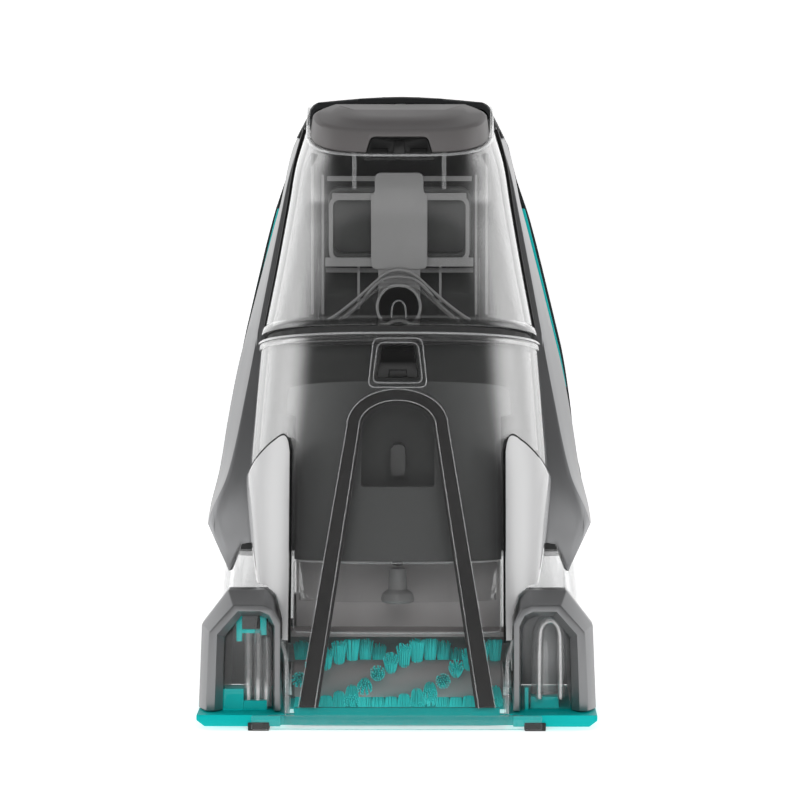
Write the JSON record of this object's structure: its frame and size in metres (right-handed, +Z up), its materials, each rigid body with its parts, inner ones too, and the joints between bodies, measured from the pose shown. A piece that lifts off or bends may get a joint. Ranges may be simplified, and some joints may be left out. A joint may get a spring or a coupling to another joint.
{
  "type": "carpet cleaner machine",
  "caption": "Handheld cordless carpet spot cleaner: powered brush in a nozzle, sloping suction duct, clear recovery tank, clean-water tank below and a loop handle.",
  "frame": {"origin": "bottom of the machine, in the middle of its length and width", "axes": "+Z up, -Y towards the front with the duct and brush, +X to the right when seen from the front"},
  "size_m": [0.1412, 0.346, 0.2206],
  "materials": {
    "smoke_clear": "smoky clear, polished",
    "clear": "clear, polished",
    "silver_plastic": "satin silver-grey",
    "warm_grey": "satin",
    "dark_grey": "matt",
    "charcoal": "matt",
    "black_plastic": "satin",
    "teal_plastic": "satin",
    "rubber": "matt",
    "steel": "plain",
    "circuit_green": "matt",
    "white_plastic": "matt",
    "lamp_white": "translucent"
  },
  "bodies": {
    "chassis": {"base_plate": "teal_plastic", "battery_pack": "dark_grey", "brush_bearing_left": "steel", "brush_bearing_right": "steel", "brush_chamber": "charcoal", "brush_motor": "steel", "bulkhead": "charcoal", "charge_port": "dark_grey", "cheek_left": "silver_plastic", "cheek_right": "silver_plastic", "circuit_board": "circuit_green", "deck": "charcoal", "drive_belt": "rubber", "duct_back": "charcoal", "duct_cover": "smoke_clear", "duct_gasket": "rubber", "fan_housing": "charcoal", "front_pad_left": "rubber", "front_pad_right": "rubber", "handle_grip": "rubber", "motor_mount": "rubber", "rear_housing": "black_plastic", "release_spring": "steel", "shoulder_left": "silver_plastic", "shoulder_right": "silver_plastic", "side_shell_left": "silver_plastic", "side_shell_right": "silver_plastic", "spray_filter": "clear", "spray_hose": "rubber", "spray_nozzle": "charcoal", "spray_pump": "steel", "spray_window": "smoke_clear", "status_light": "lamp_white", "stripe_left": "teal_plastic", "stripe_right": "teal_plastic", "suction_motor": "steel", "trigger_spring": "steel", "trigger_switch": "dark_grey", "window_left": "clear", "window_right": "clear"},
    "brush": {"brush_roll": "teal_plastic", "brush_pulley": "dark_grey"},
    "drive_shaft": {"motor_pulley": "steel"},
    "fan": {"suction_fan": "dark_grey"},
    "power_key": {"power_button": "dark_grey"},
    "release_key": {"tank_release_button": "black_plastic"},
    "trigger": {"spray_trigger": "teal_plastic"},
    "dirty_tank": {"recovery_tank": "smoke_clear", "riser_duct": "warm_grey", "float_cage": "charcoal", "baffle": "smoke_clear", "tank_gasket": "rubber"},
    "lid": {"tank_lid": "warm_grey", "lid_gasket": "rubber"},
    "float_body": {"float": "white_plastic"},
    "water_tank": {"clean_tank": "clear", "rear_foot": "rubber", "tank_valve": "dark_grey"},
    "cap": {"fill_cap": "teal_plastic"},
    "inlet_flap": {"charge_flap": "rubber"}
  },
  "joints": [
    {"name": "brush_spin", "type": "hinge", "parent": "chassis", "child": "brush", "pos_m": [0, -0.143, 0.0148], "axis": [1, 0, 0], "continuous": true},
    {"name": "motor_spin", "type": "hinge", "parent": "chassis", "child": "drive_shaft", "pos_m": [-0.0435, -0.104, 0.03], "axis": [1, 0, 0], "continuous": true},
    {"name": "fan_spin", "type": "hinge", "parent": "chassis", "child": "fan", "pos_m": [0, -0.043, 0.1], "axis": [0, 1, 0], "continuous": true},
    {"name": "power_press", "type": "slide", "parent": "chassis", "child": "power_key", "axis": [0, 0, -1], "range_m": [0, 0.002], "stiffness_N_per_m": 600, "springref_m": -0.001},
    {"name": "release_press", "type": "slide", "parent": "chassis", "child": "release_key", "axis": [0, 1, 0], "range_m": [0, 0.002], "stiffness_N_per_m": 600, "springref_m": -0.001, "deforming": ["release_spring"]},
    {"name": "trigger_pull", "type": "hinge", "parent": "chassis", "child": "trigger", "pos_m": [0, 0.011, 0.187], "axis": [1, 0, 0], "range_deg": [0, 8], "stiffness_Nm_per_rad": 0.4, "springref_deg": -5.73, "deforming": ["trigger_spring"]},
    {"name": "dirty_tank_lift", "type": "slide", "parent": "chassis", "child": "dirty_tank", "axis": [0, -0.5, 0.866], "range_m": [0, 0.09]},
    {"name": "lid_hinge", "type": "hinge", "parent": "dirty_tank", "child": "lid", "pos_m": [0, -0.0505, 0.214], "axis": [-1, 0, 0], "range_deg": [0, 75]},
    {"name": "float_rise", "type": "slide", "parent": "dirty_tank", "child": "float_body", "axis": [0, 0, 1], "range_m": [0, 0.008]},
    {"name": "water_tank_slide", "type": "slide", "parent": "chassis", "child": "water_tank", "axis": [0, 1, 0], "range_m": [0, 0.26]},
    {"name": "cap_turn", "type": "hinge", "parent": "water_tank", "child": "cap", "pos_m": [0, 0.163, 0.036], "axis": [0, -1, 0], "range_deg": [0, 90]},
    {"name": "flap_hinge", "type": "hinge", "parent": "chassis", "child": "inlet_flap", "pos_m": [0, 0.1724, 0.0724], "axis": [-1, 0, 0], "range_deg": [0, 95]}
  ],
  "couplings": [
    {"joint": "motor_spin", "follows": "brush_spin", "ratio": 2}
  ]
}
